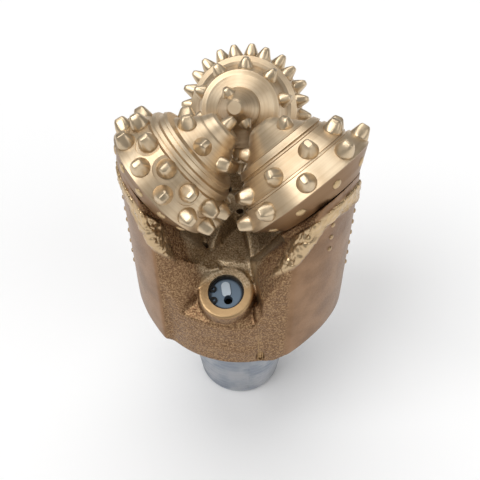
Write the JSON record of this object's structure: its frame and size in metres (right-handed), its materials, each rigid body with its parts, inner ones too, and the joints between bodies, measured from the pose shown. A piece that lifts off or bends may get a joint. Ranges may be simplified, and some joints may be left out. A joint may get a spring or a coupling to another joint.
{
  "type": "tricone drill bit",
  "caption": "Roller-cone rock bit: welded legs with nozzles and a threaded tapered pin carry rolling cones studded with pointed inserts.",
  "frame": {"origin": "centre of the threaded pin's end face, on the bit axis", "axes": "+Z along the bit axis towards the cones; +Y through the first leg's centreline"},
  "size_m": [0.1515, 0.1464, 0.271],
  "materials": {
    "leg_coat": "brown bronze coating on a rough forging",
    "cone_coat": "pale gold coating on turned steel",
    "insert_carbide": "gold-tinted tungsten carbide",
    "bearing_steel": "ground",
    "bush_bronze": "turned",
    "seal_rubber": "moulded",
    "nozzle_carbide": "blue-grey, satin",
    "reservoir_steel": "turned and coated",
    "snap_ring_black": "black oxide",
    "weld_bead": "rippled bead under the coating",
    "hardfacing": "lumpy carbide crust"
  },
  "bodies": {
    "bit_body": {"ball_plug_1": "bearing_steel", "ball_plug_2": "bearing_steel", "ball_plug_3": "bearing_steel", "compensator_diaphragm_1": "seal_rubber", "compensator_diaphragm_2": "seal_rubber", "compensator_diaphragm_3": "seal_rubber", "grease_reservoir_cup_1": "reservoir_steel", "grease_reservoir_cup_2": "reservoir_steel", "grease_reservoir_cup_3": "reservoir_steel", "leg_1": "leg_coat", "leg_2": "leg_coat", "leg_3": "leg_coat", "nozzle_1": "nozzle_carbide", "nozzle_2": "nozzle_carbide", "nozzle_3": "nozzle_carbide", "nozzle_o_rings": "seal_rubber", "nozzle_snap_rings": "snap_ring_black", "reservoir_cap_1": "reservoir_steel", "reservoir_cap_2": "reservoir_steel", "reservoir_cap_3": "reservoir_steel", "reservoir_snap_rings": "snap_ring_black", "shirttail_buttons": "insert_carbide", "shirttail_hardfacing": "hardfacing", "weld_seams": "weld_bead"},
    "cone_1": {"cone_1": "cone_coat", "cone_1_heel_inserts": "insert_carbide", "cone_1_outer_inserts": "insert_carbide", "cone_1_nose_inserts": "insert_carbide", "cone_1_gauge_buttons": "insert_carbide", "journal_bush_1": "bush_bronze", "thrust_disc_1": "bush_bronze", "cone_seal_1": "seal_rubber", "bearing_balls_1": "bearing_steel", "cone_1_middle_inserts": "insert_carbide"},
    "cone_2": {"cone_2": "cone_coat", "cone_2_heel_inserts": "insert_carbide", "cone_2_outer_inserts": "insert_carbide", "cone_2_nose_inserts": "insert_carbide", "cone_2_gauge_buttons": "insert_carbide", "journal_bush_2": "bush_bronze", "thrust_disc_2": "bush_bronze", "cone_seal_2": "seal_rubber", "bearing_balls_2": "bearing_steel", "cone_2_middle_inserts": "insert_carbide"},
    "cone_3": {"cone_3": "cone_coat", "cone_3_heel_inserts": "insert_carbide", "cone_3_outer_inserts": "insert_carbide", "cone_3_nose_inserts": "insert_carbide", "cone_3_gauge_buttons": "insert_carbide", "journal_bush_3": "bush_bronze", "thrust_disc_3": "bush_bronze", "cone_seal_3": "seal_rubber", "bearing_balls_3": "bearing_steel"}
  },
  "joints": [
    {"name": "cone_1_spin", "type": "hinge", "parent": "bit_body", "child": "cone_1", "pos_m": [-0.004, 0.0489, 0.227], "axis": [0, -0.809, 0.5878], "continuous": true},
    {"name": "cone_2_spin", "type": "hinge", "parent": "bit_body", "child": "cone_2", "pos_m": [-0.04035, -0.02791, 0.227], "axis": [0.7006, 0.4045, 0.5878], "continuous": true},
    {"name": "cone_3_spin", "type": "hinge", "parent": "bit_body", "child": "cone_3", "pos_m": [0.04435, -0.02099, 0.227], "axis": [-0.7006, 0.4045, 0.5878], "continuous": true}
  ]
}
